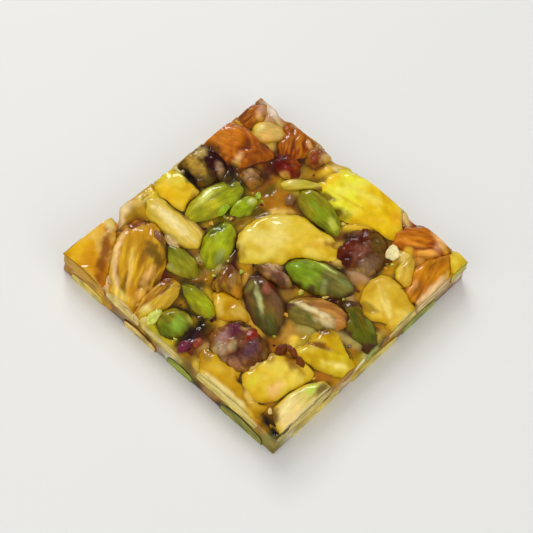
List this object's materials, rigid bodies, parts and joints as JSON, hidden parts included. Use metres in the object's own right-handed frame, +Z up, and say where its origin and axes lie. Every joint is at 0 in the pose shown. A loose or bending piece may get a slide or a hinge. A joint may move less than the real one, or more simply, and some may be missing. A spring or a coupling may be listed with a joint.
{
  "type": "dry fruit chikki square",
  "caption": "Flat square of nut brittle: halved almonds, cashews and pistachios packed in set amber sugar syrup, knife cut on four sides, to rest on its flat underside.",
  "frame": {"origin": "middle of the flat underside", "axes": "+Z up through the thickness; X and Y along the cut sides"},
  "size_m": [0.061, 0.061, 0.0079],
  "materials": {
    "syrup": "glossy set amber sugar syrup, slightly clear",
    "cashew": "glazed cashew, pale cream to bright yellow",
    "almond": "glazed almond skin, orange brown with ridges",
    "flesh": "cut cream nut flesh under a thin glaze",
    "pistachio": "glazed pistachio, yellow green",
    "skin": "glazed pistachio in its purple and maroon skin"
  },
  "bodies": {
    "root": {"almond_01": "almond", "almond_02": "almond", "almond_03": "almond", "almond_04": "almond", "almond_05": "almond", "almond_06": "almond", "almond_07": "almond", "almond_08": "almond", "brittle": "syrup", "cashew_01": "cashew", "cashew_02": "cashew", "cashew_03": "cashew", "cashew_04": "cashew", "cashew_05": "cashew", "cashew_06": "cashew", "cashew_07": "cashew", "cashew_08": "cashew", "cashew_09": "cashew", "cashew_10": "cashew", "flesh_01": "flesh", "flesh_02": "flesh", "flesh_03": "flesh", "flesh_04": "flesh", "flesh_05": "flesh", "flesh_06": "flesh", "flesh_07": "flesh", "lower_almond_01": "almond", "lower_almond_02": "almond", "lower_almond_03": "almond", "lower_almond_04": "almond", "lower_almond_05": "almond", "lower_cashew_01": "cashew", "lower_cashew_02": "cashew", "lower_cashew_03": "cashew", "lower_cashew_04": "cashew", "lower_cashew_05": "cashew", "lower_cashew_06": "cashew", "lower_pistachio_01": "pistachio", "lower_pistachio_02": "pistachio", "lower_pistachio_03": "pistachio", "lower_pistachio_04": "pistachio", "lower_pistachio_05": "pistachio", "pistachio_01": "pistachio", "pistachio_02": "pistachio", "pistachio_03": "pistachio", "pistachio_04": "pistachio", "pistachio_05": "pistachio", "pistachio_06": "pistachio", "pistachio_07": "pistachio", "pistachio_08": "pistachio", "pistachio_09": "pistachio", "pistachio_10": "pistachio", "pistachio_11": "pistachio", "skin_01": "skin", "skin_02": "skin", "skin_03": "skin", "skin_04": "skin", "skin_05": "skin", "skin_06": "skin", "skin_07": "skin"}
  },
  "joints": []
}
